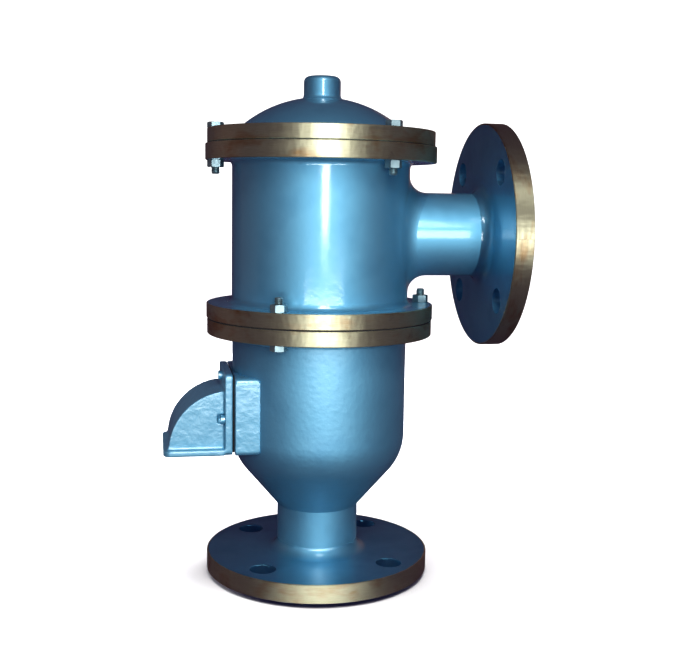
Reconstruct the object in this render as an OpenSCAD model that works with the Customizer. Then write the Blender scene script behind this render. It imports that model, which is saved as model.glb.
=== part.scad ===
// Breather valve for a storage tank, DN 50, pipe-away type.
// Millimetres. The origin is the centre of the inlet flange's sealing face.
// +Z points up the main axis, +X towards the outlet, and the air intake faces -X.

/* [Line flanges] */
// Outside diameter of the inlet and outlet flanges
flange_d = 160; // [154:1:166]
// Thickness of a line flange without its raised face
flange_t = 13; // [11:0.5:15]
// Height of the raised sealing face
raised_face_t = 3; // [2:0.5:3]
// Diameter of the raised sealing face
raised_face_d = 100; // [90:1:102]
// Bolt circle of a line flange
flange_pcd = 125; // [122:1:130]
// Bolt hole in a line flange
flange_hole_d = 18; // [14:1:19]
// Bore of the inlet neck and of the outlet pipe
line_bore_d = 50; // [46:1:51]
// Leg of the fillet between a line flange and its pipe
flange_fillet = 7.5; // [4:0.5:9]

/* [Bodies] */
// Outside diameter of the inlet neck
neck_d = 58; // [56:1:60]
// Outside diameter of the lower body
lower_body_d = 124; // [122:1:125]
// Outside diameter of the upper body
upper_body_d = 125; // [124:1:126]
// Wall thickness of both bodies
body_wall = 5; // [4:0.5:5.5]
// Slope of the lower body's cone, from the main axis
cone_angle = 40.5; // [38:0.5:44]
// Radius of the rounded shoulder above the cone
knuckle_r = 38.8; // [34:0.2:42]
// Height of the shoulder's upper end
knuckle_z = 102.3; // [100:0.1:104]

/* [Body joints] */
// Outside diameter of the upper body's ring at the middle joint
joint_ring_d = 160.5; // [158:0.5:162]
// Outside diameter of the lower body's ring
lower_ring_d = 159.5; // [158:0.5:162]
// Thickness of the rings at the middle joint
joint_ring_t = 10.2; // [9:0.2:11]
// Outside diameter of the upper body's top ring
top_ring_d = 162; // [158:0.5:164]
// Thickness of the upper body's top ring
top_ring_t = 11.2; // [10:0.2:12]
// Outside diameter of the cover flange
cover_flange_d = 159.4; // [157:0.2:162]
// Thickness of the cover flange
cover_flange_t = 9.8; // [9:0.1:11]
// Bolt circle of both joints
joint_pcd = 148; // [146:0.5:149]
// Number of bolts in each joint
joint_bolt_count = 3; // [3:1:6]
// Leg of the fillets where a ring meets a body
ring_fillet = 4; // [2:0.5:4.5]

/* [Outlet] */
// Height of the outlet's axis
outlet_z = 244.8; // [242:0.2:248]
// Distance from the main axis to the outlet's sealing face
outlet_reach = 133; // [128:1:140]
// Outside diameter of the outlet pipe
outlet_pipe_d = 59.4; // [58:0.2:61]
// Radius of the collar where the pipe leaves the body
collar_r = 14; // [10:0.5:16]

/* [Cover] */
// Outside radius of the domed cover
dome_r = 86.5; // [84:0.5:90]
// Wall thickness of the dome
dome_wall = 4.5; // [3.5:0.5:5]
// Diameter of the guide boss
boss_d = 25.8; // [25:0.2:27]
// Height of the guide boss's top
boss_top_z = 353.5; // [351:0.5:354]

/* [Air intake] */
// Width of the intake frame
frame_w = 83; // [82:0.5:86]
// Width of the hood's flange and of its lip
hood_flange_w = 64; // [64:0.5:66]
// Width of the hood between the outsides of its cheeks
hood_w = 54; // [53:0.5:54.5]
// Radius of the hood's quarter-round roof
hood_r = 41.5; // [41:0.5:44]
// Wall thickness of the hood
hood_wall = 4; // [3.5:0.25:4]
// Radius of the fillets between the hood and its flange
hood_fillet = 3; // [2:0.5:3.5]

/* [Pallets] */
// Bore of the pressure seat
pressure_seat_d = 60; // [56:1:62]
// Bore of the vacuum seat
vacuum_seat_d = 40; // [36:1:40]
// Lift of the pressure pallet
pressure_lift = 15; // [10:1:15]
// Lift of the vacuum pallet
vacuum_lift = 10; // [6:1:10]
// Number of loading weights on the pressure pallet
weight_count = 2; // [1:1:2]

/* [Hidden] */
$fn = 96;

// Play used only to make cuts run past the faces they cut
cut = 1;
// Chamfer on the turned edge of a flange or ring
edge_chamfer = 0.4;
// Land left at the thin end of a fillet
fillet_land = 0.12;

// Bodies
neck_r = neck_d / 2;
line_bore_r = line_bore_d / 2;
lower_r = lower_body_d / 2;
upper_r = upper_body_d / 2;
upper_inner_r = upper_r - body_wall;
outlet_r = outlet_pipe_d / 2;

// Middle joint
mid_joint_z = 184.5;
mid_gasket_t = 1;
upper_base_z = mid_joint_z + mid_gasket_t;
seat_plate_t = 4;
seat_plate_r = 65.7;
seat_recess_r = 66;
seat_plate_z = mid_joint_z - seat_plate_t;

// Cover joint
top_ring_z = 294.8;
cover_joint_z = top_ring_z + top_ring_t;
cover_gasket_t = 0.5;
cover_z = cover_joint_z + cover_gasket_t;
cover_top_z = cover_z + cover_flange_t;
dome_centre_z = 339.2 - dome_r;
dome_ledge_z = cover_top_z - 4;
dome_ledge_r = 56;
boss_r = boss_d / 2;
boss_bottom_z = 318;
boss_rounding = 4;
boss_cove = 3;
boss_cove_z = 337.5;
bush_r = 8;
bush_top_z = 341;
pocket_top_z = 347.5;

// Joint bolts, M6
bolt_r = 3;
bolt_hole_r = 3.5;
bolt_head_af = 10;
bolt_head_t = 4;
bolt_nut_t = 5.2;
bolt_proud = 4.6;
joint_bolt_circle_r = joint_pcd / 2;
mid_bolt_start = 0;
cover_bolt_start = 60;

// Air intake
frame_front_x = -63;
frame_low_z = 95;
frame_high_z = 148;
frame_corner_r = 3;
hood_gasket_t = 1;
hood_flange_t = 5.5;
hood_back_x = frame_front_x - hood_gasket_t;
hood_face_x = hood_back_x - hood_flange_t;
hood_low_z = 93.2;
hood_high_z = 149.5;
hood_centre_x = -66;
hood_centre_z = 96;
hood_lip_t = 4;
hood_lip_reach = 3.5;
hood_lip_corner_r = 5;
hood_lip_fillet = 2.5;
hood_corner_r = 3;
hood_spot_depth = 4.5;
duct_w = 42;
duct_low_z = 101.5;
duct_high_z = 132.5;
duct_wall = 2.5;
duct_end_x = 26;
screen_t = 1.5;
screen_w = 50.4;
screen_low_z = 98.3;
screen_high_z = 136.2;
screen_play = 0.3;
screen_pitch = 5;
screen_hole = 3.6;
screen_columns = 8;
screen_rows = 6;
hood_screw_r = 2;
hood_screw_hole_r = 2.25;
hood_screw_head_r = 3.2;
hood_screw_head_t = 2.6;
hood_screw_length = 10;
hood_screw_places = [[-28.8, 118], [28.8, 118], [0, 144]];

// Vacuum pallet
vacuum_seat_r = vacuum_seat_d / 2;
vacuum_seat_low_z = duct_high_z + duct_wall;
vacuum_seat_high_z = 147;
vacuum_rod_r = 3;
vacuum_neck_r = 2.5;
guide_clearance = 0.05;
vacuum_hub_low_z = 137;
vacuum_hub_high_z = 145;
vacuum_shoulder_z = 145.6;
vacuum_disc_low_z = 148;
vacuum_disc_high_z = 151;
vacuum_nut_t = 4;
vacuum_stem_low_z = 112;
vacuum_stop_nut_t = 5;
stop_gap = 0.2;

// Pressure pallet
pressure_seat_r = pressure_seat_d / 2;
pressure_seat_high_z = 197;
pressure_rod_r = 6;
pressure_neck_r = 5;
pressure_hub_low_z = 181;
pressure_hub_high_z = 194;
pressure_shoulder_z = 195.2;
pressure_disc_low_z = 198.5;
pressure_disc_high_z = 202.5;
pressure_stem_low_z = 169;
pressure_stem_high_z = 328;
weight_r = 30;
weight_t = 8;
pressure_nut_t = 8;
weights_top_z = pressure_disc_high_z + weight_count * weight_t;

// Colours
paint = [0.36, 0.62, 0.76];
machined = [0.62, 0.56, 0.38];
stainless = [0.74, 0.75, 0.76];
aluminium = [0.82, 0.83, 0.84];
zinc = [0.72, 0.8, 0.82];
ptfe = [0.93, 0.93, 0.9];
gasket = [0.2, 0.2, 0.2];
brass = [0.75, 0.6, 0.3];

// ---------- shared shapes ----------

// Outline, in radius and height, of a ring with chamfered outer edges
module ring_outline(r_in, r_out, z_low, z_high) {
    polygon([
        [r_in, z_low],
        [r_out - edge_chamfer, z_low],
        [r_out, z_low + edge_chamfer],
        [r_out, z_high - edge_chamfer],
        [r_out - edge_chamfer, z_high],
        [r_in, z_high]
    ]);
}

// Outline of a fillet outside radius r, standing on the height z; up is 1 or -1
module fillet_outline(r, z, leg, up) {
    difference() {
        translate([r, up > 0 ? z : z - leg])
            square([leg + fillet_land, leg]);
        translate([r + fillet_land + leg, z + up * leg])
            circle(leg);
    }
}

// Plain outline between two radii and two heights
module band_outline(r_in, r_out, z_low, z_high) {
    translate([r_in, z_low])
        square([r_out - r_in, z_high - z_low]);
}

// Copies of the children on a circle round the main axis
module around(radius, count, start) {
    for (i = [0 : count - 1])
        rotate([0, 0, start + i * 360 / count])
            translate([radius, 0, 0])
                children();
}

// Cylinder from one height to another
module upright(r, z_low, z_high) {
    translate([0, 0, z_low])
        cylinder(r = r, h = z_high - z_low);
}

// Box between two corners
module block(low, high) {
    translate(low)
        cube(high - low);
}

// Hexagon prism of a given width across flats, with a corner pointing along X
module hexagon(across_flats, z_low, z_high) {
    translate([0, 0, z_low])
        cylinder(r = across_flats / sqrt(3), h = z_high - z_low, $fn = 6);
}

// Hexagon nut with turned corners and a plain bore
module nut(across_flats, bore_r, z_low, z_high) {
    chamfer = across_flats * 0.08;
    difference() {
        intersection() {
            hexagon(across_flats, z_low, z_high);
            rotate_extrude()
                polygon([
                    [0, z_low],
                    [across_flats / 2, z_low],
                    [across_flats / 2 + 2 * chamfer, z_low + chamfer],
                    [across_flats / 2 + 2 * chamfer, z_high - chamfer],
                    [across_flats / 2, z_high],
                    [0, z_high]
                ]);
        }
        upright(bore_r, z_low - cut, z_high + cut);
    }
}

// Line flange with its raised face at height 0 and its hub above
module line_flange(bore_r) {
    difference() {
        rotate_extrude() {
            ring_outline(bore_r, flange_d / 2, raised_face_t, raised_face_t + flange_t);
            band_outline(bore_r, raised_face_d / 2, 0, raised_face_t + cut);
            fillet_outline(bore_r, raised_face_t + flange_t, flange_fillet, 1);
        }
        around(flange_pcd / 2, 4, 45)
            upright(flange_hole_d / 2, -cut, raised_face_t + flange_t + cut);
    }
}

// ---------- lower body ----------

// Filled outline of the lower body, set in by inset from its outside
module bowl_outline(inset, throat_r, z_low, z_high) {
    arc_r = knuckle_r - inset;
    arc_x = lower_r - knuckle_r;
    tangent = [arc_x + arc_r * cos(cone_angle), knuckle_z - arc_r * sin(cone_angle)];
    throat_z = tangent[1] - (tangent[0] - throat_r) / tan(cone_angle);
    band_outline(0, lower_r - inset, knuckle_z, z_high);
    band_outline(0, throat_r, z_low, throat_z);
    polygon([[0, throat_z], [throat_r, throat_z], tangent, [arc_x, knuckle_z], [0, knuckle_z]]);
    intersection() {
        translate([arc_x, knuckle_z])
            circle(arc_r);
        band_outline(arc_x, lower_r, tangent[1], knuckle_z);
    }
}

// Space that the intake duct fills where it passes the lower body's wall
module duct_passage() {
    block(
        [frame_front_x - cut, -duct_w / 2 - duct_wall, duct_low_z - duct_wall],
        [-40, duct_w / 2 + duct_wall, duct_high_z + duct_wall]
    );
}

module inlet_flange() {
    color(machined)
        line_flange(neck_r);
}

// Recess that holds the insect screen in the frame's front face
module screen_recess() {
    block(
        [frame_front_x - cut, -screen_w / 2 - screen_play, screen_low_z - screen_play],
        [frame_front_x + screen_t + 0.1, screen_w / 2 + screen_play, screen_high_z + screen_play]
    );
}

// Blind holes for the hood's screws
module hood_screw_holes() {
    at_hood_screws(hood_screw_r, frame_front_x - cut, hood_face_x + hood_screw_length + 0.3);
}

module lower_body() {
    color(paint)
        difference() {
            rotate_extrude()
                difference() {
                    bowl_outline(0, neck_r, 0, mid_joint_z - seat_plate_t);
                    bowl_outline(body_wall, line_bore_r, -cut, mid_joint_z + cut);
                }
            duct_passage();
            screen_recess();
            hood_screw_holes();
        }
}

module lower_body_ring() {
    ring_low_z = mid_joint_z - joint_ring_t;
    color(machined)
        difference() {
            rotate_extrude()
                difference() {
                    union() {
                        ring_outline(lower_r, lower_ring_d / 2, ring_low_z, mid_joint_z);
                        fillet_outline(lower_r, ring_low_z, ring_fillet, -1);
                    }
                    band_outline(0, seat_recess_r, seat_plate_z, mid_joint_z + cut);
                }
            around(joint_bolt_circle_r, joint_bolt_count, mid_bolt_start)
                upright(bolt_hole_r, ring_low_z - cut, mid_joint_z + cut);
        }
}

// ---------- air intake ----------

// Rounded rectangle centred on width, from one height to another
module rounded_panel(width, z_low, z_high, corner_r) {
    half = width / 2;
    translate([-half + corner_r, z_low])
        square([width - 2 * corner_r, z_high - z_low]);
    translate([-half, z_low + corner_r])
        square([width, z_high - z_low - 2 * corner_r]);
    for (y = [-half + corner_r, half - corner_r])
        for (z = [z_low + corner_r, z_high - corner_r])
            translate([y, z])
                circle(corner_r);
}

// Extrudes an outline, drawn in Y and Z, from one X to another
module along_x(x_low, x_high) {
    translate([x_low, 0, 0])
        rotate([90, 0, 90])
            linear_extrude(height = x_high - x_low)
                children();
}

// A cylinder along X at each hood screw
module at_hood_screws(r, x_low, x_high) {
    for (place = hood_screw_places)
        translate([x_low, place[0], place[1]])
            rotate([0, 90, 0])
                cylinder(r = r, h = x_high - x_low);
}

module intake_frame() {
    color(paint)
        difference() {
            along_x(frame_front_x, -35)
                rounded_panel(frame_w, frame_low_z, frame_high_z, frame_corner_r);
            rotate_extrude()
                bowl_outline(0, neck_r, 0, mid_joint_z);
            duct_passage();
            screen_recess();
            hood_screw_holes();
        }
}

module intake_duct() {
    mouth_x = frame_front_x + screen_t + 0.1;
    half = duct_w / 2;
    color(stainless)
        difference() {
            block(
                [mouth_x, -half - duct_wall, duct_low_z - duct_wall],
                [duct_end_x, half + duct_wall, duct_high_z + duct_wall]
            );
            block(
                [mouth_x - cut, -half, duct_low_z],
                [duct_end_x - duct_wall, half, duct_high_z]
            );
            upright(vacuum_seat_r, duct_high_z - cut, duct_high_z + duct_wall + cut);
        }
}

module insect_screen() {
    color(stainless)
        difference() {
            block(
                [frame_front_x, -screen_w / 2, screen_low_z],
                [frame_front_x + screen_t, screen_w / 2, screen_high_z]
            );
            for (column = [0 : screen_columns - 1])
                for (row = [0 : screen_rows - 1])
                    translate([
                        frame_front_x - cut,
                        (column - (screen_columns - 1) / 2) * screen_pitch - screen_hole / 2,
                        (duct_low_z + duct_high_z) / 2
                            + (row - (screen_rows - 1) / 2) * screen_pitch - screen_hole / 2
                    ])
                        cube([screen_t + 2 * cut, screen_hole, screen_hole]);
        }
}

module hood_gasket() {
    color(gasket)
        difference() {
            block(
                [hood_back_x, -hood_flange_w / 2 + 0.5, frame_low_z + 0.5],
                [frame_front_x, hood_flange_w / 2 - 0.5, frame_high_z - 0.5]
            );
            block(
                [hood_back_x - cut, -duct_w / 2 - 2, duct_low_z - 2],
                [frame_front_x + cut, duct_w / 2 + 2, duct_high_z + 1.5]
            );
            at_hood_screws(hood_screw_hole_r, hood_back_x - cut, frame_front_x + cut);
        }
}

// Side outline of the hood's roof, in X and Z, down to height z_low
module roof_outline(radius, z_low) {
    intersection() {
        union() {
            translate([hood_centre_x, hood_centre_z])
                circle(radius);
            translate([hood_centre_x - radius, z_low])
                square([radius, hood_centre_z - z_low]);
        }
        translate([hood_centre_x - hood_r - cut, z_low])
            square([hood_face_x - hood_centre_x + hood_r + cut, hood_high_z - z_low]);
    }
}

// Hood shape of a given width and roof radius
module hood_solid(width, radius, z_low) {
    translate([0, width / 2, 0])
        rotate([90, 0, 0])
            linear_extrude(height = width)
                roof_outline(radius, z_low);
}

// Lip round the hood's open underside
module hood_lip() {
    tip_x = hood_centre_x - hood_r - hood_lip_reach;
    half = hood_flange_w / 2;
    translate([0, 0, hood_low_z])
        linear_extrude(height = hood_lip_t) {
            translate([tip_x, -half + hood_lip_corner_r])
                square([hood_face_x - tip_x, hood_flange_w - 2 * hood_lip_corner_r]);
            translate([tip_x + hood_lip_corner_r, -half])
                square([hood_face_x - tip_x - hood_lip_corner_r, hood_flange_w]);
            for (side = [-1, 1])
                translate([tip_x + hood_lip_corner_r, side * (half - hood_lip_corner_r)])
                    circle(hood_lip_corner_r);
        }
}

// Section of a fillet of radius r in the corner between the X and Y axes
module cove(r) {
    difference() {
        translate([-cut, -cut])
            square(r + cut);
        translate([r, r])
            circle(r);
    }
}

// Section of the fillet that turns round a sharp corner, drawn from that corner outwards
module cove_turn(r) {
    difference() {
        square(r);
        translate([r, r])
            circle(r);
    }
}

// Fillets between the hood and its flange: up both cheeks, across the roof and round its corners
module hood_flange_fillets() {
    top_z = hood_centre_z + sqrt(hood_r ^ 2 - (hood_centre_x - hood_face_x) ^ 2);
    half = hood_w / 2;
    for (side = [-1, 1])
        translate([hood_face_x, side * half, 0]) {
            translate([0, 0, hood_low_z])
                linear_extrude(height = top_z - hood_low_z)
                    rotate([0, 0, side > 0 ? 90 : 180])
                        cove(hood_fillet);
            translate([0, 0, top_z])
                rotate([0, -90, 0])
                    rotate_extrude()
                        cove_turn(hood_fillet);
        }
    translate([hood_face_x, half, top_z])
        rotate([90, 0, 0])
            linear_extrude(height = hood_w)
                mirror([1, 0])
                    cove(hood_fillet);
}

// Fillets between the hood's outside and the lip: along both cheeks, across the front, round its corners
module hood_lip_fillets() {
    lip_top_z = hood_low_z + hood_lip_t;
    front_x = hood_centre_x - hood_r;
    half = hood_w / 2;
    for (side = [-1, 1])
        translate([front_x, side * half, lip_top_z]) {
            rotate([90, 0, 90])
                linear_extrude(height = hood_face_x - front_x)
                    rotate([0, 0, side > 0 ? 0 : 90])
                        cove(hood_lip_fillet);
            rotate_extrude()
                cove_turn(hood_lip_fillet);
        }
    translate([front_x, half, lip_top_z])
        rotate([90, 0, 0])
            linear_extrude(height = hood_w)
                mirror([1, 0])
                    cove(hood_lip_fillet);
}

module intake_hood() {
    color(paint)
        difference() {
            union() {
                along_x(hood_face_x, hood_back_x)
                    rounded_panel(hood_flange_w, hood_low_z, hood_high_z, hood_corner_r);
                hood_solid(hood_w, hood_r, hood_low_z);
                hood_lip();
                hood_flange_fillets();
                hood_lip_fillets();
            }
            hood_solid(hood_w - 2 * hood_wall, hood_r - hood_wall, hood_low_z - cut);
            block(
                [hood_face_x - cut, -duct_w / 2 - 2, duct_low_z - 2],
                [hood_back_x + cut, duct_w / 2 + 2, duct_high_z + 0.5]
            );
            at_hood_screws(hood_screw_hole_r, hood_face_x - cut, hood_back_x + cut);
            at_hood_screws(hood_screw_head_r + 0.6, hood_face_x - hood_spot_depth, hood_face_x);
        }
}

module hood_screws() {
    color(zinc) {
        at_hood_screws(hood_screw_r, hood_face_x - cut, hood_face_x + hood_screw_length);
        at_hood_screws(hood_screw_head_r, hood_face_x - hood_screw_head_t, hood_face_x);
    }
}

// ---------- seats ----------

// Hub on three arms that guides a pallet stem inside a seat
module guide_spider(rod_r, hub_r, seat_r, arm_t, z_low, z_high) {
    difference() {
        union() {
            upright(hub_r, z_low, z_high);
            for (angle = [0, 120, 240])
                rotate([0, 0, angle])
                    block([0, -arm_t / 2, z_low], [seat_r + 1, arm_t / 2, z_high]);
        }
        upright(rod_r + guide_clearance, z_low - cut, z_high + cut);
    }
}

module vacuum_seat() {
    color(stainless) {
        rotate_extrude()
            polygon([
                [vacuum_seat_r, vacuum_seat_low_z],
                [vacuum_seat_r + 3, vacuum_seat_low_z],
                [vacuum_seat_r + 3, vacuum_seat_high_z - 2],
                [vacuum_seat_r + 2, vacuum_seat_high_z],
                [vacuum_seat_r, vacuum_seat_high_z]
            ]);
        guide_spider(vacuum_rod_r, 6, vacuum_seat_r, 3, vacuum_hub_low_z, vacuum_hub_high_z);
    }
}

module pressure_seat() {
    color(stainless) {
        rotate_extrude()
            polygon([
                [pressure_seat_r, seat_plate_z],
                [seat_plate_r, seat_plate_z],
                [seat_plate_r, mid_joint_z],
                [pressure_seat_r + 4, mid_joint_z],
                [pressure_seat_r + 4, pressure_seat_high_z - 3],
                [pressure_seat_r + 2, pressure_seat_high_z],
                [pressure_seat_r, pressure_seat_high_z]
            ]);
        guide_spider(pressure_rod_r, 10, pressure_seat_r, 4, pressure_hub_low_z, pressure_hub_high_z);
    }
}

module mid_joint_gasket() {
    color(gasket)
        difference() {
            upright(lower_ring_d / 2 - 0.5, mid_joint_z, upper_base_z);
            upright(upper_inner_r + 2, mid_joint_z - cut, upper_base_z + cut);
            around(joint_bolt_circle_r, joint_bolt_count, mid_bolt_start)
                upright(bolt_hole_r, mid_joint_z - cut, upper_base_z + cut);
        }
}

// ---------- vacuum pallet ----------

module vacuum_disc() {
    color(aluminium)
        rotate_extrude()
            band_outline(vacuum_neck_r, vacuum_seat_r + 7, vacuum_disc_low_z, vacuum_disc_high_z);
}

module vacuum_seal() {
    color(ptfe)
        rotate_extrude()
            band_outline(vacuum_neck_r, vacuum_seat_r + 6, vacuum_seat_high_z, vacuum_disc_low_z);
}

module vacuum_seal_washer() {
    color(stainless)
        rotate_extrude()
            band_outline(vacuum_neck_r, 12, vacuum_shoulder_z, vacuum_seat_high_z);
}

module vacuum_stem() {
    color(stainless) {
        upright(vacuum_rod_r, vacuum_stem_low_z, vacuum_shoulder_z);
        upright(vacuum_neck_r, vacuum_shoulder_z, vacuum_disc_high_z + vacuum_nut_t + 1.5);
    }
}

module vacuum_disc_nut() {
    color(stainless)
        nut(8, vacuum_neck_r, vacuum_disc_high_z, vacuum_disc_high_z + vacuum_nut_t);
}

module vacuum_stop_nut() {
    top_z = vacuum_hub_low_z - vacuum_lift - stop_gap;
    color(stainless)
        nut(10, vacuum_rod_r, top_z - vacuum_stop_nut_t, top_z);
}

// ---------- pressure pallet ----------

module pressure_disc() {
    color(stainless)
        rotate_extrude()
            band_outline(pressure_neck_r, pressure_seat_r + 8, pressure_disc_low_z, pressure_disc_high_z);
}

module pressure_seal() {
    color(ptfe)
        rotate_extrude()
            band_outline(pressure_neck_r, pressure_seat_r + 6, pressure_seat_high_z, pressure_disc_low_z);
}

module pressure_seal_washer() {
    color(stainless)
        rotate_extrude()
            band_outline(pressure_neck_r, 24, pressure_shoulder_z, pressure_seat_high_z);
}

module pressure_stem() {
    color(stainless) {
        upright(pressure_rod_r, pressure_stem_low_z, pressure_shoulder_z);
        upright(pressure_neck_r, pressure_shoulder_z, pressure_stem_high_z);
    }
}

module pressure_weights() {
    color(zinc)
        for (i = [0 : weight_count - 1])
            rotate_extrude()
                ring_outline(
                    pressure_neck_r, weight_r,
                    pressure_disc_high_z + i * weight_t, pressure_disc_high_z + (i + 1) * weight_t
                );
}

module pressure_disc_nut() {
    color(stainless)
        nut(16, pressure_neck_r, weights_top_z, weights_top_z + pressure_nut_t);
}

module pressure_stop_nut() {
    top_z = boss_bottom_z - pressure_lift - stop_gap;
    color(stainless)
        nut(16, pressure_neck_r, top_z - pressure_nut_t, top_z);
}

// ---------- upper body and outlet ----------

module upper_body() {
    color(paint)
        difference() {
            upright(upper_r, upper_base_z, cover_joint_z);
            upright(upper_inner_r, upper_base_z - cut, cover_joint_z + cut);
            translate([0, 0, outlet_z])
                rotate([0, 90, 0])
                    cylinder(r = outlet_r, h = upper_r + cut);
        }
}

module upper_body_base_ring() {
    ring_high_z = upper_base_z + joint_ring_t;
    color(machined)
        difference() {
            rotate_extrude() {
                ring_outline(upper_r, joint_ring_d / 2, upper_base_z, ring_high_z);
                fillet_outline(upper_r, ring_high_z, ring_fillet, 1);
            }
            around(joint_bolt_circle_r, joint_bolt_count, mid_bolt_start)
                upright(bolt_hole_r, upper_base_z - cut, ring_high_z + cut);
        }
}

module upper_body_top_ring() {
    color(machined)
        difference() {
            rotate_extrude() {
                ring_outline(upper_r, top_ring_d / 2, top_ring_z, cover_joint_z);
                fillet_outline(upper_r, top_ring_z, ring_fillet, -1);
            }
            around(joint_bolt_circle_r, joint_bolt_count, cover_bolt_start)
                upright(bolt_hole_r, top_ring_z - cut, cover_joint_z + cut);
        }
}

module outlet_pipe() {
    color(paint)
        difference() {
            translate([0, 0, outlet_z])
                rotate([0, 90, 0])
                    cylinder(r = outlet_r, h = outlet_reach);
            translate([0, 0, outlet_z])
                rotate([0, 90, 0])
                    translate([0, 0, -cut])
                        cylinder(r = line_bore_r, h = outlet_reach + 2 * cut);
            upright(upper_inner_r, outlet_z - 2 * outlet_r, outlet_z + 2 * outlet_r);
        }
}

module outlet_flange() {
    color(machined)
        translate([outlet_reach, 0, outlet_z])
            rotate([0, -90, 0])
                line_flange(outlet_r);
}

// The collar is the path of a ball that rolls round the joint, touching the body and the pipe.
collar_gap = 0.05;
collar_steps = 96;
collar_arc_steps = 8;
collar_wall_steps = 3;

// Centre of the rolling ball at an angle round the pipe
function ball_centre(angle) =
    let (reach = outlet_r + collar_r, y = reach * sin(angle))
    [sqrt((upper_r + collar_r) ^ 2 - y * y), y, reach * cos(angle)];

// Point of the body's surface, at a height above the outlet's axis, in the direction of y
function on_body(y, height) =
    [sqrt((upper_r + collar_gap) ^ 2 - y * y), y, height];

// Section of the collar at an angle round the pipe
function collar_section(angle) =
    let (
        ball = ball_centre(angle),
        pipe_share = (outlet_r + collar_gap) / (outlet_r + collar_r),
        body_share = (upper_r + collar_gap) / (upper_r + collar_r),
        at_pipe = [ball[0], ball[1] * pipe_share, ball[2] * pipe_share],
        at_body = [ball[0] * body_share, ball[1] * body_share, ball[2]],
        to_pipe = at_pipe - ball,
        to_body = at_body - ball,
        span = acos((to_pipe * to_body) / (norm(to_pipe) * norm(to_body))),
        root_y = at_pipe[1],
        root_height = at_pipe[2]
    )
    concat(
        [for (i = [0 : collar_arc_steps])
            let (t = i / collar_arc_steps)
            ball + (to_pipe * sin((1 - t) * span) + to_body * sin(t * span)) / sin(span)],
        [for (i = [1 : collar_wall_steps])
            let (t = i / collar_wall_steps)
            on_body(
                at_body[1] + (root_y - at_body[1]) * t,
                at_body[2] + (root_height - at_body[2]) * t
            )]
    );

module outlet_collar() {
    sections = [for (i = [0 : collar_steps - 1]) collar_section(i * 360 / collar_steps)];
    count = len(sections[0]);
    color(paint)
        translate([0, 0, outlet_z])
            polyhedron(
                points = [for (section = sections) each section],
                faces = [
                    for (i = [0 : collar_steps - 1])
                        for (j = [0 : count - 1])
                            let (
                                next_i = (i + 1) % collar_steps,
                                next_j = (j + 1) % count,
                                a = i * count + j,
                                b = next_i * count + j,
                                c = next_i * count + next_j,
                                d = i * count + next_j
                            )
                            each [[a, b, c], [a, c, d]]
                ]
            );
}

// ---------- cover ----------

module cover_gasket() {
    color(gasket)
        difference() {
            upright(cover_flange_d / 2 - 0.5, cover_joint_z, cover_z);
            upright(upper_inner_r + 2, cover_joint_z - cut, cover_z + cut);
            around(joint_bolt_circle_r, joint_bolt_count, cover_bolt_start)
                upright(bolt_hole_r, cover_joint_z - cut, cover_z + cut);
        }
}

module cover_flange() {
    color(machined)
        difference() {
            rotate_extrude()
                difference() {
                    ring_outline(dome_ledge_r, cover_flange_d / 2, cover_z, cover_top_z);
                    intersection() {
                        translate([0, dome_centre_z])
                            circle(dome_r);
                        band_outline(0, dome_r, dome_ledge_z, cover_top_z + cut);
                    }
                }
            around(joint_bolt_circle_r, joint_bolt_count, cover_bolt_start)
                upright(bolt_hole_r, cover_z - cut, cover_top_z + cut);
        }
}

module cover_dome() {
    color(paint)
        rotate_extrude()
            intersection() {
                difference() {
                    translate([0, dome_centre_z])
                        circle(dome_r);
                    translate([0, dome_centre_z])
                        circle(dome_r - dome_wall);
                }
                band_outline(boss_r, dome_r, dome_ledge_z, boss_top_z);
            }
}

module guide_boss() {
    color(paint)
        rotate_extrude()
            difference() {
                union() {
                    band_outline(0, boss_r, boss_bottom_z, boss_top_z - boss_rounding);
                    band_outline(0, boss_r - boss_rounding, boss_bottom_z, boss_top_z);
                    translate([boss_r - boss_rounding, boss_top_z - boss_rounding])
                        intersection() {
                            circle(boss_rounding);
                            square(boss_rounding);
                        }
                    difference() {
                        fillet_outline(boss_r, boss_cove_z, boss_cove, 1);
                        translate([0, dome_centre_z])
                            circle(dome_r);
                    }
                }
                band_outline(-cut, bush_r, boss_bottom_z - cut, pocket_top_z);
            }
}

module guide_bush() {
    color(brass)
        rotate_extrude()
            band_outline(pressure_neck_r + guide_clearance, bush_r, boss_bottom_z, bush_top_z);
}

// ---------- joint bolts ----------

// Hexagon bolt with its head below, clamping from z_low to z_high
module joint_bolt(z_low, z_high) {
    upright(bolt_r, z_low - cut, z_high + bolt_nut_t + bolt_proud);
    intersection() {
        hexagon(bolt_head_af, z_low - bolt_head_t, z_low);
        rotate_extrude()
            polygon([
                [0, z_low - bolt_head_t],
                [bolt_head_af / 2, z_low - bolt_head_t],
                [bolt_head_af / 2 + 1.6, z_low - bolt_head_t + 0.8],
                [bolt_head_af / 2 + 1.6, z_low],
                [0, z_low]
            ]);
    }
}

module mid_joint_bolts() {
    color(zinc)
        around(joint_bolt_circle_r, joint_bolt_count, mid_bolt_start)
            joint_bolt(mid_joint_z - joint_ring_t, upper_base_z + joint_ring_t);
}

module mid_joint_nuts() {
    clamp_z = upper_base_z + joint_ring_t;
    color(zinc)
        around(joint_bolt_circle_r, joint_bolt_count, mid_bolt_start)
            nut(bolt_head_af, bolt_r, clamp_z, clamp_z + bolt_nut_t);
}

// The cover's bolts point down, with their heads on the cover flange
module cover_joint_bolts() {
    color(zinc)
        translate([0, 0, top_ring_z + cover_top_z])
            rotate([180, 0, 0])
                around(joint_bolt_circle_r, joint_bolt_count, -cover_bolt_start)
                    joint_bolt(top_ring_z, cover_top_z);
}

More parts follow.
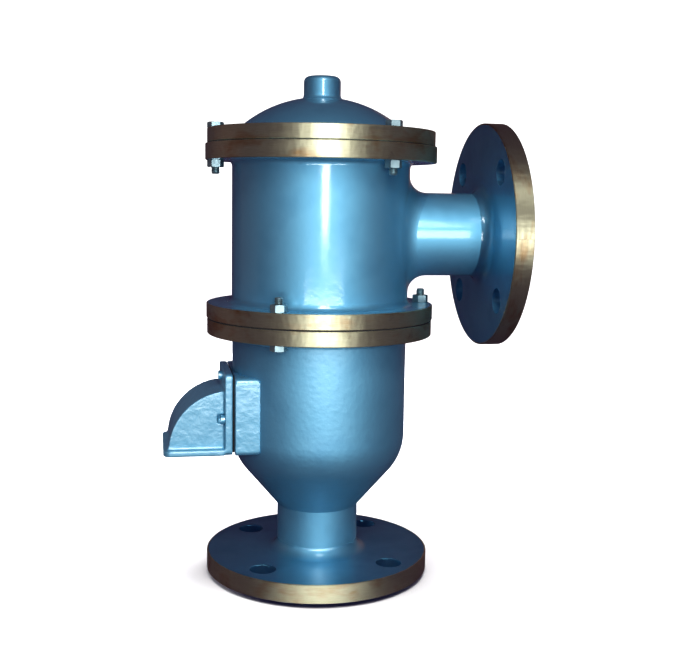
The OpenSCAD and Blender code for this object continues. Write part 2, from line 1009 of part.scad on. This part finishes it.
module cover_joint_nuts() {
    color(zinc)
        around(joint_bolt_circle_r, joint_bolt_count, cover_bolt_start)
            nut(bolt_head_af, bolt_r, top_ring_z - bolt_nut_t, top_ring_z);
}

// ---------- which nodes to draw ----------

inlet_flange();
lower_body();
lower_body_ring();
intake_frame();
intake_duct();
vacuum_seat();
vacuum_disc();
vacuum_seal();
vacuum_seal_washer();
vacuum_stem();
vacuum_disc_nut();
vacuum_stop_nut();
insect_screen();
hood_gasket();
intake_hood();
hood_screws();
pressure_seat();
mid_joint_gasket();
mid_joint_bolts();
mid_joint_nuts();
pressure_disc();
pressure_seal();
pressure_seal_washer();
pressure_stem();
pressure_weights();
pressure_disc_nut();
pressure_stop_nut();
upper_body();
upper_body_base_ring();
upper_body_top_ring();
outlet_collar();
outlet_pipe();
outlet_flange();
cover_gasket();
cover_flange();
cover_dome();
guide_boss();
guide_bush();
cover_joint_bolts();
cover_joint_nuts();
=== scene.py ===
"""Looks for the tank breather valve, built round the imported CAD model. Metres, in the CAD's frame."""

import math

import bmesh
import bpy
from mathutils import Matrix, Vector


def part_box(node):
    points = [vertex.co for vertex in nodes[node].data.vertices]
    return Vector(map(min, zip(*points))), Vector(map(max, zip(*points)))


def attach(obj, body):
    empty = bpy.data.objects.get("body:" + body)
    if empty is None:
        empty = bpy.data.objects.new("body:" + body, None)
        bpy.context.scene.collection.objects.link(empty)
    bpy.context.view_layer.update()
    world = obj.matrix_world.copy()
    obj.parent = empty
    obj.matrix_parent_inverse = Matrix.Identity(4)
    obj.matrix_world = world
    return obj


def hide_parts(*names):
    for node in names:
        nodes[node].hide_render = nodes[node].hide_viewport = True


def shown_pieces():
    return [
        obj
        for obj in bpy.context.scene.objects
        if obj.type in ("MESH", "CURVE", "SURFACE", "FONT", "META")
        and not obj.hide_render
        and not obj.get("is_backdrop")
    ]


MM = 0.001

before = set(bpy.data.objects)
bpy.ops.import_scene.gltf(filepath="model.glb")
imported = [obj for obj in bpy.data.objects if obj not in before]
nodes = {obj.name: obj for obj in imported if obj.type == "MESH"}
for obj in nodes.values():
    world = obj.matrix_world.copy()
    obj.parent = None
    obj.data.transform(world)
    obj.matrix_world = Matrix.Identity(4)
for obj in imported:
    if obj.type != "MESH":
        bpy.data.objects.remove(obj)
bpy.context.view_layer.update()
scene = bpy.context.scene


# ---------- places on the flanges and rings ----------

pipe_low, pipe_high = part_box("outlet_pipe")
OUTLET_Z = (pipe_low.z + pipe_high.z) / 2
OUTLET_FACE_X = pipe_high.x
RAISED_FACE = 3 * MM
BARE_RIM_DEPTH = 1.1 * MM
PAINT_EDGE_WANDER = 0.25 * MM


# ---------- node helpers ----------

class Shader:
    """Builds one material's node tree with short calls. Its place is the point's position in metres."""

    def __init__(self, name):
        self.material = bpy.data.materials.new(name)
        self.material.use_nodes = True
        self.tree = self.material.node_tree
        self.tree.nodes.clear()
        self.output = self.tree.nodes.new("ShaderNodeOutputMaterial")
        self.place = self.tree.nodes.new("ShaderNodeTexCoord").outputs["Object"]

    def node(self, kind, inputs=None, **settings):
        """A new node with its settings and inputs."""
        made = self.tree.nodes.new(kind)
        for key, value in settings.items():
            setattr(made, key, value)
        for key, value in (inputs or {}).items():
            self.feed(made.inputs[key], value)
        return made

    def feed(self, socket, value):
        """Links another node's output into a socket, or sets the socket's own value."""
        if isinstance(value, bpy.types.NodeSocket):
            self.tree.links.new(value, socket)
        else:
            socket.default_value = value

    def math(self, operation, a, b=0.0):
        made = self.node("ShaderNodeMath", operation=operation)
        self.feed(made.inputs[0], a)
        self.feed(made.inputs[1], b)
        return made.outputs[0]

    def distance(self, a, b):
        """Distance from the centre of a point with the flat coordinates a and b."""
        a_squared = self.math("MULTIPLY", a, a)
        b_squared = self.math("MULTIPLY", b, b)
        return self.math("SQRT", self.math("ADD", a_squared, b_squared))

    def noise(self, scale, detail=3.0, rough=0.5, place=None):
        """Cloudy noise from about 0 to 1, with scale features to the metre."""
        made = self.node(
            "ShaderNodeTexNoise",
            {"Vector": place or self.place, "Scale": scale, "Detail": detail, "Roughness": rough},
        )
        return made.outputs["Fac"]

    def remap(self, value, low, high, to_low=0.0, to_high=1.0):
        """The value moved from the range low to high into another range, and held inside it."""
        made = self.node(
            "ShaderNodeMapRange",
            {"Value": value, "From Min": low, "From Max": high, "To Min": to_low, "To Max": to_high},
        )
        return made.outputs["Result"]

    def mix(self, share, a, b):
        """Colour a, with a share of colour b."""
        made = self.node("ShaderNodeMix", data_type="RGBA")
        self.feed(made.inputs["Factor"], share)
        self.feed(made.inputs["A"], a)
        self.feed(made.inputs["B"], b)
        return made.outputs["Result"]

    def bump(self, height, distance, normal=None):
        """A bumpy surface direction, from a height of 0 to 1 times a distance."""
        made = self.node("ShaderNodeBump", {"Height": height, "Distance": distance, "Strength": 1.0})
        if normal is not None:
            self.feed(made.inputs["Normal"], normal)
        return made.outputs["Normal"]

    def axes(self):
        split = self.node("ShaderNodeSeparateXYZ", {"Vector": self.place})
        return split.outputs["X"], split.outputs["Y"], split.outputs["Z"]

    def vector(self, x, y, z):
        return self.node("ShaderNodeCombineXYZ", {"X": x, "Y": y, "Z": z}).outputs["Vector"]

    def surface(self, **inputs):
        """The main shader. Each input is named as on the node, with _ for a space."""
        made = self.node("ShaderNodeBsdfPrincipled")
        for key, value in inputs.items():
            self.feed(made.inputs[key.replace("_", " ")], value)
        return made.outputs["BSDF"]

    def finish(self, surface):
        self.tree.links.new(surface, self.output.inputs["Surface"])
        return self.material


def colour(red, green, blue):
    return (red, green, blue, 1.0)


def scaled(tone, factor):
    """A colour made darker or lighter."""
    return colour(*(factor * value for value in tone[:3]))


# ---------- finishes ----------

PAINT = colour(0.245, 0.55, 0.71)
PAINT_PALE = colour(0.27, 0.585, 0.75)
PAINT_DEEP = colour(0.19, 0.46, 0.63)
BARE = colour(0.56, 0.56, 0.39)
BARE_PALE = colour(0.78, 0.76, 0.64)
TARNISH = colour(0.46, 0.33, 0.17)
STAIN = colour(0.20, 0.13, 0.08)

# The range that most of a noise lies in
NOISE_RANGE = (0.3, 0.7)

# Noise scales, in features to the metre
PAINT_CLOUDS = 14.0
PAINT_GRIME = 40.0
PAINT_GLOSS = 60.0
PAINT_PEEL = 230.0
CAST_GRIT = 420.0
PAINT_EDGE = 180.0
TOOL_MARKS = 3200.0
TOOL_BANDS = 700.0
METAL_STAINS = 60.0
PLATING_BLOTCHES = 220.0
PLATING_SCRATCHES = 900.0
SHEET_FIBRES = 700.0

# Noise scales of the turned metal, in features to the radian round its rim
RIM_TARNISH = 2.2
RIM_RIPPLE = 9.0

# How noise is stretched on turned metal: metres to the radian for the tool marks, and radians to the
# metre for the tarnish and the ripple
TOOL_MARK_STRETCH = 0.003
TARNISH_STRETCH = 25.0
RIPPLE_STRETCH = 6.0

# How many times finer a plating's scratches are upwards than round the part
SCRATCH_STRETCH = 4.0


def enamel(shader, peel=0.10, casting=0.0, pearl=0.95, pearl_rough=0.66, clear_rough=0.10):
    """Pearly blue enamel under a clear coat.

    peel is the height of its orange peel, and casting that of the grit in the metal under it, in mm.
    pearl is the share of the colour that gleams like metal.
    """
    cloud = shader.remap(shader.noise(PAINT_CLOUDS, 4.0), *NOISE_RANGE)
    tone = shader.mix(cloud, PAINT, PAINT_PALE)
    grime = shader.remap(shader.noise(PAINT_GRIME, 2.0), 0.50, 0.80, 0.0, 0.6)
    tone = shader.mix(grime, tone, PAINT_DEEP)
    patches = shader.noise(PAINT_GLOSS, 5.0)
    patchy = shader.remap(patches, *NOISE_RANGE, clear_rough, clear_rough + 0.08)
    normal = shader.bump(shader.noise(PAINT_PEEL, 2.0), peel * MM)
    if casting:
        grit = shader.noise(CAST_GRIT, 4.0, 0.6)
        normal = shader.bump(grit, casting * MM, normal)
    return shader.surface(
        Base_Color=tone, Metallic=pearl, Roughness=pearl_rough, Normal=normal,
        Coat_Weight=1.0, Coat_IOR=1.7, Coat_Roughness=patchy, Coat_Normal=normal,
    )


def turned_metal(shader, angle, across, axis):
    """Lathe-turned steel with a yellow tint: fine rings, tarnish and stains. It gleams across the rings."""
    rings = shader.vector(shader.math("MULTIPLY", angle, TOOL_MARK_STRETCH), across, 0.0)
    fine = shader.noise(TOOL_MARKS, 3.0, 0.6, rings)
    broad = shader.noise(TOOL_BANDS, 2.0, 0.5, rings)
    patches = shader.vector(angle, shader.math("MULTIPLY", across, TARNISH_STRETCH), 0.0)
    drift = shader.noise(RIM_TARNISH, 3.0, 0.6, patches)
    tone = shader.mix(shader.remap(drift, 0.50, 0.66), BARE, TARNISH)
    tone = shader.mix(shader.remap(fine, 0.35, 0.7, 0.0, 0.35), tone, BARE_PALE)
    stain = shader.remap(shader.noise(METAL_STAINS, 6.0, 0.65), 0.62, 0.74, 0.0, 0.35)
    tone = shader.mix(stain, tone, STAIN)
    dullness = shader.remap(broad, *NOISE_RANGE, 0.46, 0.56)
    waves = shader.vector(angle, shader.math("MULTIPLY", across, RIPPLE_STRETCH), 0.0)
    ripple = shader.noise(RIM_RIPPLE, 2.0, 0.5, waves)
    normal = shader.bump(ripple, 0.35 * MM)
    normal = shader.bump(fine, 0.01 * MM, normal)
    tangent = shader.node("ShaderNodeTangent", direction_type="RADIAL", axis=axis).outputs["Tangent"]
    return shader.surface(
        Base_Color=tone, Metallic=0.92, Roughness=dullness, Normal=normal,
        Anisotropic=0.70, Anisotropic_Rotation=0.25, Tangent=tangent,
    )


def painted_ring(name, radius, axis, has_raised_face):
    """Enamel on the faces and bare turned metal on the rim, and on the raised face where there is one."""
    shader = Shader(name)
    x, y, z = shader.axes()
    if axis == "Z":
        along, u, v = z, x, y
    else:
        along, u, v = x, y, shader.math("SUBTRACT", z, OUTLET_Z)
    reach = shader.distance(u, v)
    angle = shader.math("ARCTAN2", v, u)
    wander = shader.remap(shader.noise(PAINT_EDGE), *NOISE_RANGE, -PAINT_EDGE_WANDER, PAINT_EDGE_WANDER)
    edge = shader.math("ADD", reach, wander)
    bare = shader.math("GREATER_THAN", edge, radius - BARE_RIM_DEPTH)
    metal = turned_metal(shader, angle, shader.math("ADD", along, reach), axis)
    if has_raised_face:
        if axis == "Z":
            faced = shader.math("LESS_THAN", along, 0.5 * RAISED_FACE)
        else:
            faced = shader.math("GREATER_THAN", along, OUTLET_FACE_X - 0.5 * RAISED_FACE)
        bare = shader.math("MAXIMUM", bare, faced)
    blend = shader.node("ShaderNodeMixShader")
    shader.feed(blend.inputs[0], bare)
    shader.feed(blend.inputs[1], enamel(shader))
    shader.feed(blend.inputs[2], metal)
    return shader.finish(blend.outputs[0])


def paint_material(name, **settings):
    """Enamel all over."""
    shader = Shader(name)
    return shader.finish(enamel(shader, **settings))


def plated_material(name, tone, rough, metallic=1.0):
    """Plated or machined small part with faint blotches and fine scratches."""
    shader = Shader(name)
    x, y, z = shader.axes()
    blotch = shader.remap(shader.noise(PLATING_BLOTCHES, 4.0), 0.35, 0.7)
    base = shader.mix(blotch, tone, scaled(tone, 0.72))
    flattened = shader.vector(x, y, shader.math("MULTIPLY", z, SCRATCH_STRETCH))
    lines = shader.noise(PLATING_SCRATCHES, 3.0, 0.6, flattened)
    dullness = shader.remap(lines, *NOISE_RANGE, rough, rough + 0.15)
    return shader.finish(shader.surface(
        Base_Color=base, Metallic=metallic, Roughness=dullness, Normal=shader.bump(lines, 0.015 * MM),
    ))


def dull_material(name, tone, rough, grain):
    """Gasket sheet or moulded seal: not metallic, with a fine grain of a height in mm."""
    shader = Shader(name)
    fibre = shader.noise(SHEET_FIBRES, 5.0, 0.7)
    base = shader.mix(shader.remap(fibre, 0.35, 0.7), tone, scaled(tone, 1.5))
    return shader.finish(shader.surface(
        Base_Color=base, Roughness=rough, Normal=shader.bump(fibre, grain * MM),
    ))


ENAMEL = paint_material("enamel_smooth", peel=0.05)
ENAMEL_LUMPY = paint_material("enamel_cast", peel=0.14, casting=0.04, clear_rough=0.30)
ENAMEL_ROUGH = paint_material(
    "enamel_sand_cast", peel=0.10, casting=0.13, pearl=0.65, pearl_rough=0.62, clear_rough=0.18,
)
STAINLESS = plated_material("stainless", colour(0.62, 0.62, 0.60), 0.26)
ALUMINIUM = plated_material("aluminium", colour(0.78, 0.79, 0.80), 0.30)
ZINC = plated_material("zinc_plate", colour(0.33, 0.45, 0.48), 0.38, metallic=0.8)
BRASS = plated_material("brass", colour(0.70, 0.52, 0.22), 0.28)
PTFE = dull_material("ptfe", colour(0.6, 0.6, 0.57), 0.45, 0.01)
GASKET = dull_material("gasket_sheet", colour(0.035, 0.035, 0.038), 0.85, 0.03)

LINE_FLANGES = ("inlet_flange", "outlet_flange")
RING_AXES = {
    "inlet_flange": "Z",
    "lower_body_ring": "Z",
    "upper_body_base_ring": "Z",
    "upper_body_top_ring": "Z",
    "cover_flange": "Z",
    "outlet_flange": "X",
}
FINISHES = {
    "lower_body": ENAMEL_LUMPY,
    "upper_body": ENAMEL, "outlet_pipe": ENAMEL, "outlet_collar": ENAMEL,
    "hood_screws": ENAMEL, "cover_dome": ENAMEL, "guide_boss": ENAMEL,
    "intake_frame": ENAMEL_ROUGH, "intake_hood": ENAMEL_ROUGH,
    "intake_duct": STAINLESS, "vacuum_seat": STAINLESS,
    "insect_screen": STAINLESS, "pressure_seat": STAINLESS,
    "pressure_disc": STAINLESS, "pressure_seal_washer": STAINLESS, "pressure_stem": STAINLESS,
    "pressure_disc_nut": STAINLESS, "pressure_stop_nut": STAINLESS,
    "vacuum_disc": ALUMINIUM, "vacuum_seal_washer": ALUMINIUM, "vacuum_stem": ALUMINIUM,
    "vacuum_disc_nut": ALUMINIUM, "vacuum_stop_nut": ALUMINIUM,
    "vacuum_seal": PTFE, "pressure_seal": PTFE,
    "guide_bush": BRASS, "pressure_weights": ZINC,
    "mid_joint_bolts": ZINC, "mid_joint_nuts": ZINC,
    "cover_joint_bolts": ZINC, "cover_joint_nuts": ZINC,
    "hood_gasket": GASKET, "mid_joint_gasket": GASKET, "cover_gasket": GASKET,
}


def paint_node(node, material):
    """Gives a CAD node its one material."""
    slots = nodes[node].data.materials
    slots.clear()
    slots.append(material)


for node, axis in RING_AXES.items():
    low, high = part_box(node)
    is_line_flange = node in LINE_FLANGES
    kind = "line_flange_" if is_line_flange else "joint_ring_"
    paint_node(node, painted_ring(kind + node, (high.y - low.y) / 2, axis, is_line_flange))
for node, material in FINISHES.items():
    paint_node(node, material)


# ---------- pieces made here from the CAD shapes ----------

def new_piece(name, mesh, node, material):
    """A shown mesh that stands for a CAD node of the housing."""
    piece = bpy.data.objects.new(name, mesh)
    scene.collection.objects.link(piece)
    mesh.materials.clear()
    mesh.materials.append(material)
    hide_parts(node)
    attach(piece, "housing")
    return piece


def mesh_from(work, name, smooth):
    """The finished mesh of a bmesh, which it frees."""
    mesh = bpy.data.meshes.new(name)
    work.to_mesh(mesh)
    work.free()
    if smooth:
        for polygon in mesh.polygons:
            polygon.use_smooth = True
    return mesh


CAST_VOXEL = 0.6 * MM
CAST_SOFTENING = 5
CAST_LUMPS = ((10.0 * MM, 0.25 * MM), (3.0 * MM, 0.10 * MM))
CAST_SINK = 0.70


def sand_cast(node, name):
    """A copy of a CAD node with the soft edges and uneven skin of a sand casting.

    CAST_LUMPS holds the size and height of its lumps. CAST_SINK lets them go more inwards than outwards,
    and the skin stays within about 0.4 mm of the CAD faces.
    """
    mesh = nodes[node].data.copy()
    piece = new_piece(name, mesh, node, ENAMEL_ROUGH)
    skin = piece.modifiers.new("skin", "REMESH")
    skin.mode = "VOXEL"
    skin.voxel_size = CAST_VOXEL
    skin.use_smooth_shade = True
    soften = piece.modifiers.new("soften", "SMOOTH")
    soften.iterations = CAST_SOFTENING
    for lump_size, lump_height in CAST_LUMPS:
        cloud = bpy.data.textures.new(name + "_lumps", "CLOUDS")
        cloud.noise_scale = lump_size
        sink = piece.modifiers.new("sink", "DISPLACE")
        sink.texture = cloud
        sink.strength = lump_height
        sink.mid_level = CAST_SINK
    return piece


BOLT_R = 3.0 * MM
ROOT_R = 2.45 * MM
PITCH = 1.0 * MM
HEAD_T = 4.0 * MM
THREAD_LENGTH = 11.0 * MM
THREAD_STEEPNESS = 1.25
THREAD_ROOT_FLAT = 0.05
TIP_CHAMFER = 0.9 * MM
BOLT_SPACING = 20.0 * MM
SHANK_SLACK = 0.1 * MM
SHANK_SIDES = 28
ROWS_PER_PITCH = 8


def bolt_places(node):
    """Middle of each upright bolt in a node, from the points that lie near each other."""
    groups = []
    for vertex in nodes[node].data.vertices:
        for group in groups:
            if (group[0].xy - vertex.co.xy).length < BOLT_SPACING:
                group.append(vertex.co)
                break
        else:
            groups.append([vertex.co])
    places = []
    for group in groups:
        xs = [point.x for point in group]
        ys = [point.y for point in group]
        places.append(Vector(((min(xs) + max(xs)) / 2, (min(ys) + max(ys)) / 2)))
    return places


def thread_radius(turn, z):
    """Radius of a thread with flat crests and roots, at a turn (0 to 1) and a distance along the bolt."""
    phase = (z / PITCH - turn) % 1.0
    rise = 1.0 - abs(2.0 * phase - 1.0)
    ridge = min(1.0, max(0.0, THREAD_STEEPNESS * rise - THREAD_ROOT_FLAT))
    return ROOT_R + (BOLT_R - ROOT_R) * ridge


def threaded_shank(work, place, head_z, tip_z):
    """Adds a bolt's shank from its head to its tip, threaded and chamfered at the tip."""
    way = 1.0 if tip_z > head_z else -1.0
    length = abs(tip_z - head_z)
    plain = length - THREAD_LENGTH
    steps = round(THREAD_LENGTH / PITCH * ROWS_PER_PITCH)
    levels = [0.0, plain] + [plain + THREAD_LENGTH * (step + 1) / steps for step in range(steps)]
    rows = []
    for level in levels:
        row = []
        for step in range(SHANK_SIDES):
            turn = step / SHANK_SIDES
            radius = BOLT_R
            if level > plain:
                radius = min(thread_radius(turn, level), BOLT_R - TIP_CHAMFER + (length - level))
            bearing = 2.0 * math.pi * turn
            row.append(work.verts.new((
                place.x + radius * math.cos(bearing),
                place.y + radius * math.sin(bearing) * way,
                head_z + way * level,
            )))
        rows.append(row)
    join_rows(work, rows)
    work.faces.new(rows[-1])


def join_rows(work, rows):
    """Faces between each ring of points and the next."""
    for lower, upper in zip(rows, rows[1:]):
        for side in range(len(lower)):
            after = (side + 1) % len(lower)
            work.faces.new((lower[side], lower[after], upper[after], upper[side]))


def threaded_bolts(node, name, head_below):
    """The CAD bolts with their shanks cut away and threaded ones put in."""
    low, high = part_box(node)
    if head_below:
        head_z, tip_z = low.z + HEAD_T, high.z
    else:
        head_z, tip_z = high.z - HEAD_T, low.z
    places = bolt_places(node)
    work = bmesh.new()
    work.from_mesh(nodes[node].data)
    shank = [vertex for vertex in work.verts
             if min((vertex.co.xy - place).length for place in places) < BOLT_R + SHANK_SLACK]
    bmesh.ops.delete(work, geom=shank, context="VERTS")
    for place in places:
        threaded_shank(work, place, head_z, tip_z)
    new_piece(name, mesh_from(work, name, smooth=False), node, ZINC)


# Wires at a pitch, each with its ends tucked into the border
WIRE_R = 0.25 * MM
WIRE_SIDES = 6
WIRE_PITCH = 1.8 * MM
WIRE_TUCK = 1.0 * MM
WEAVE_HEIGHT = 1.05 * WIRE_R
SCREEN_BORDER = 4.0 * MM


def wire(work, path):
    """A round wire along a path that keeps to a plane of constant x, give or take its weave."""
    rows = []
    for at, onward in zip(path, path[1:] + [2 * path[-1] - path[-2]]):
        along = (onward - at).normalized()
        across = along.cross(Vector((1.0, 0.0, 0.0))).normalized()
        out = along.cross(across)
        row = []
        for side in range(WIRE_SIDES):
            bearing = 2.0 * math.pi * side / WIRE_SIDES
            row.append(work.verts.new(at + WIRE_R * (math.cos(bearing) * across + math.sin(bearing) * out)))
        rows.append(row)
    join_rows(work, rows)


def screen_border(work, low, high):
    """A flat rectangular border between two corners, as thick as they are apart in x."""
    outer = (low.y, low.z, high.y, high.z)
    inner = (low.y + SCREEN_BORDER, low.z + SCREEN_BORDER, high.y - SCREEN_BORDER, high.z - SCREEN_BORDER)
    loops = []
    for x, (left, bottom, right, top) in ((low.x, outer), (high.x, outer), (high.x, inner), (low.x, inner)):
        corners = ((left, bottom), (right, bottom), (right, top), (left, top))
        loops.append([work.verts.new((x, y, z)) for y, z in corners])
    join_rows(work, loops + loops[:1])


def parallel_wires(work, middle, width, length, runs_up):
    """Wires side by side over a width, which go over and under those that run the other way."""
    count = int(width / WIRE_PITCH)
    bends = 2 * round(length / WIRE_PITCH)
    flip = 1.0 if runs_up else -1.0
    for number in range(count):
        beside = (number - (count - 1) / 2) * WIRE_PITCH
        path = []
        for bend in range(bends + 1):
            along = (bend / bends - 0.5) * length
            weave = flip * math.cos(math.pi * (bend / 2 + number)) * WEAVE_HEIGHT
            y, z = (beside, along) if runs_up else (along, beside)
            path.append(middle + Vector((weave, y, z)))
        wire(work, path)


def woven_screen(node, name):
    """Wire cloth in a flat border, in the place of the CAD's plate with square holes."""
    low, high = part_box(node)
    middle = (low + high) / 2
    open_width = high.y - low.y - 2 * SCREEN_BORDER
    open_height = high.z - low.z - 2 * SCREEN_BORDER
    work = bmesh.new()
    screen_border(work, low, high)
    parallel_wires(work, middle, open_width, open_height + 2 * WIRE_TUCK, runs_up=True)
    parallel_wires(work, middle, open_height, open_width + 2 * WIRE_TUCK, runs_up=False)
    bmesh.ops.recalc_face_normals(work, faces=work.faces)
    new_piece(name, mesh_from(work, name, smooth=True), node, STAINLESS)


frame_cast = sand_cast("intake_frame", "intake_frame_cast")
hood_cast = sand_cast("intake_hood", "intake_hood_cast")
threaded_bolts("mid_joint_bolts", "mid_joint_bolts_threaded", head_below=True)
threaded_bolts("cover_joint_bolts", "cover_joint_bolts_threaded", head_below=False)
woven_screen("insect_screen", "insect_screen_woven")


# ---------- camera ----------

CAMERA_AT = Vector((-0.1152, -0.7179, 0.2696))
CAMERA_AIM = Vector((0.0206, -0.0092, 0.1802))
CAMERA_ROLL = math.radians(0.94)
CAMERA_LENS_MM = 52.5
CAMERA_SENSOR_MM = 36.0


def aimed(at, aim):
    """Where a lamp or camera stands and how it is turned, to look from one point at another."""
    way = aim - at
    return Matrix.Translation(at) @ way.to_track_quat("-Z", "Y").to_matrix().to_4x4()


camera_data = bpy.data.cameras.new("camera")
camera_data.lens = CAMERA_LENS_MM
camera_data.sensor_width = CAMERA_SENSOR_MM
camera = bpy.data.objects.new("camera", camera_data)
scene.collection.objects.link(camera)
camera.matrix_world = aimed(CAMERA_AT, CAMERA_AIM) @ Matrix.Rotation(CAMERA_ROLL, 4, "Z")
scene.camera = camera


# ---------- floor and surroundings ----------

FLOOR_HALF_SIDE = 6.0
FLOOR_GREY = colour(0.86, 0.86, 0.86)
FLOOR_PALE = colour(0.9, 0.9, 0.9)
BACKDROP = colour(1.0, 1.0, 1.0)
DIM_ROOM = colour(0.052, 0.031, 0.060)


def studio_floor():
    """A plain pale floor, which throws no light and no mirror image on the valve."""
    work = bmesh.new()
    bmesh.ops.create_grid(work, x_segments=1, y_segments=1, size=FLOOR_HALF_SIDE)
    mesh = mesh_from(work, "floor", smooth=False)
    floor = bpy.data.objects.new("floor", mesh)
    scene.collection.objects.link(floor)
    shader = Shader("floor_pale")
    tone = shader.mix(shader.noise(3.0), FLOOR_GREY, FLOOR_PALE)
    mesh.materials.append(shader.finish(shader.surface(Base_Color=tone, Roughness=0.9)))
    floor.visible_diffuse = False
    floor.visible_glossy = False
    floor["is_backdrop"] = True
    return floor


def backdrop_world():
    """A world that the camera sees as white, and that lights the valve as a dim room."""
    world = bpy.data.worlds.new("studio")
    scene.world = world
    world.use_nodes = True
    tree = world.node_tree
    tree.nodes.clear()
    output = tree.nodes.new("ShaderNodeOutputWorld")
    seen = tree.nodes.new("ShaderNodeLightPath")
    blend = tree.nodes.new("ShaderNodeMixShader")
    tree.links.new(seen.outputs["Is Camera Ray"], blend.inputs[0])
    for socket, tone in ((blend.inputs[1], DIM_ROOM), (blend.inputs[2], BACKDROP)):
        background = tree.nodes.new("ShaderNodeBackground")
        background.inputs["Color"].default_value = tone
        background.inputs["Strength"].default_value = 1.0
        tree.links.new(background.outputs[0], socket)
    tree.links.new(blend.outputs[0], output.inputs["Surface"])


floor = studio_floor()
backdrop_world()


# ---------- lights ----------

WHITE = (1.0, 1.0, 1.0)
BROWN = (1.0, 0.5, 0.25)
MIDDLE = (0.0, 0.0, 0.2)


def light_only(light, receivers):
    """Limits a light to some pieces."""
    lit = bpy.data.collections.new(light.name + "_lit")
    for receiver in receivers:
        lit.objects.link(receiver)
    light.light_linking.receiver_collection = lit


def soft_light(name, at, size, power, only=None, aim=MIDDLE, glossy=True, tint=WHITE):
    """A flat lamp with a size (width, height) in metres and a power in watts.

    It lights every piece, or only those given. Without glossy it isn't mirrored in them.
    """
    data = bpy.data.lights.new(name, "AREA")
    data.shape = "RECTANGLE"
    data.size, data.size_y = size
    data.energy = power
    data.color = tint
    light = bpy.data.objects.new(name, data)
    light.visible_glossy = glossy
    scene.collection.objects.link(light)
    light.matrix_world = aimed(Vector(at), Vector(aim))
    if only:
        light_only(light, only)


def named(*names):
    """The CAD nodes with these names."""
    return [nodes[name] for name in names]


def all_but(*names):
    """Every shown piece but those with these names."""
    return [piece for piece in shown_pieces() if piece.name not in names]


HIGH_UP = ("upper_body", "upper_body_top_ring", "cover_flange")

# The window in front: a tall one draws the narrow streak, and wider ones fill in round it.
soft_light("window", (-0.05, -0.78, 0.48), (0.12, 0.56), 2.55, all_but(*LINE_FLANGES))
soft_light("window_wide", (0.02, -0.86, 0.27), (0.75, 0.30), 3.3, named("lower_body", "outlet_pipe"))
low_lit = all_but(
    "lower_body", "outlet_pipe", "outlet_flange", "guide_boss", "intake_frame_cast", "intake_hood_cast",
)
soft_light("window_low", (-0.06, -0.86, 0.055), (0.75, 0.10), 2.5, low_lit)
soft_light(
    "window_foot", (-0.06, -0.80, 0.0065), (1.6, 0.010), 2.2,
    named("inlet_flange"), aim=(0.0, 0.0, 0.0065),
)
soft_light("window_outlet", (0.30, -0.80, 0.22), (0.30, 0.30), 2.5, named("outlet_flange"))
soft_light("window_hood", (-0.06, -0.86, 0.055), (0.75, 0.10), 1.6, [frame_cast, hood_cast])
soft_light("window_top", (0.0, -0.70, 0.86), (0.30, 0.25), 1.7)
soft_light("pipe_streak", (0.285, -0.74, 0.66), (0.085, 0.27), 0.27, named("outlet_pipe"))

# Fill from behind and from the sides, which lights the back and isn't mirrored anywhere
soft_light("back", (0.25, 1.00, 0.30), (0.8, 0.4), 5.0, glossy=False)
soft_light("left", (-1.10, 0.55, 0.40), (0.6, 0.5), 7.0, glossy=False)
soft_light("right", (1.10, 0.55, 0.35), (0.6, 0.5), 2.0, glossy=False)

# The brownish room, mirrored faintly in the paint
soft_light("room_left", (-0.90, 0.35, 0.35), (0.7, 0.7), 0.10, tint=BROWN)
soft_light("room_right", (0.62, 0.80, 0.35), (0.6, 0.7), 0.22, tint=BROWN)

# Lamps behind, for the gleam of the rims and edges. Each keeps off the pieces that it would bleach.
back_low_lit = all_but(*LINE_FLANGES, "outlet_collar", *HIGH_UP)
soft_light("back_low", (0.12, 0.90, 0.08), (0.22, 0.10), 2.0, back_low_lit)
soft_light("back_high", (0.12, 0.90, 0.46), (0.22, 0.30), 2.5, named(*HIGH_UP))
soft_light("back_outlet", (0.36, 0.85, 0.30), (0.36, 0.30), 2.0, named("outlet_flange"))

FLOOR_SUN_POWER = 3.4
FLOOR_SUN_SPREAD = math.radians(50.0)

sun_data = bpy.data.lights.new("floor_light", "SUN")
sun_data.energy = FLOOR_SUN_POWER
sun_data.angle = FLOOR_SUN_SPREAD
sun = bpy.data.objects.new("floor_light", sun_data)
scene.collection.objects.link(sun)
light_only(sun, [floor])

scene.view_settings.view_transform = "Standard"
scene.view_settings.look = "High Contrast"
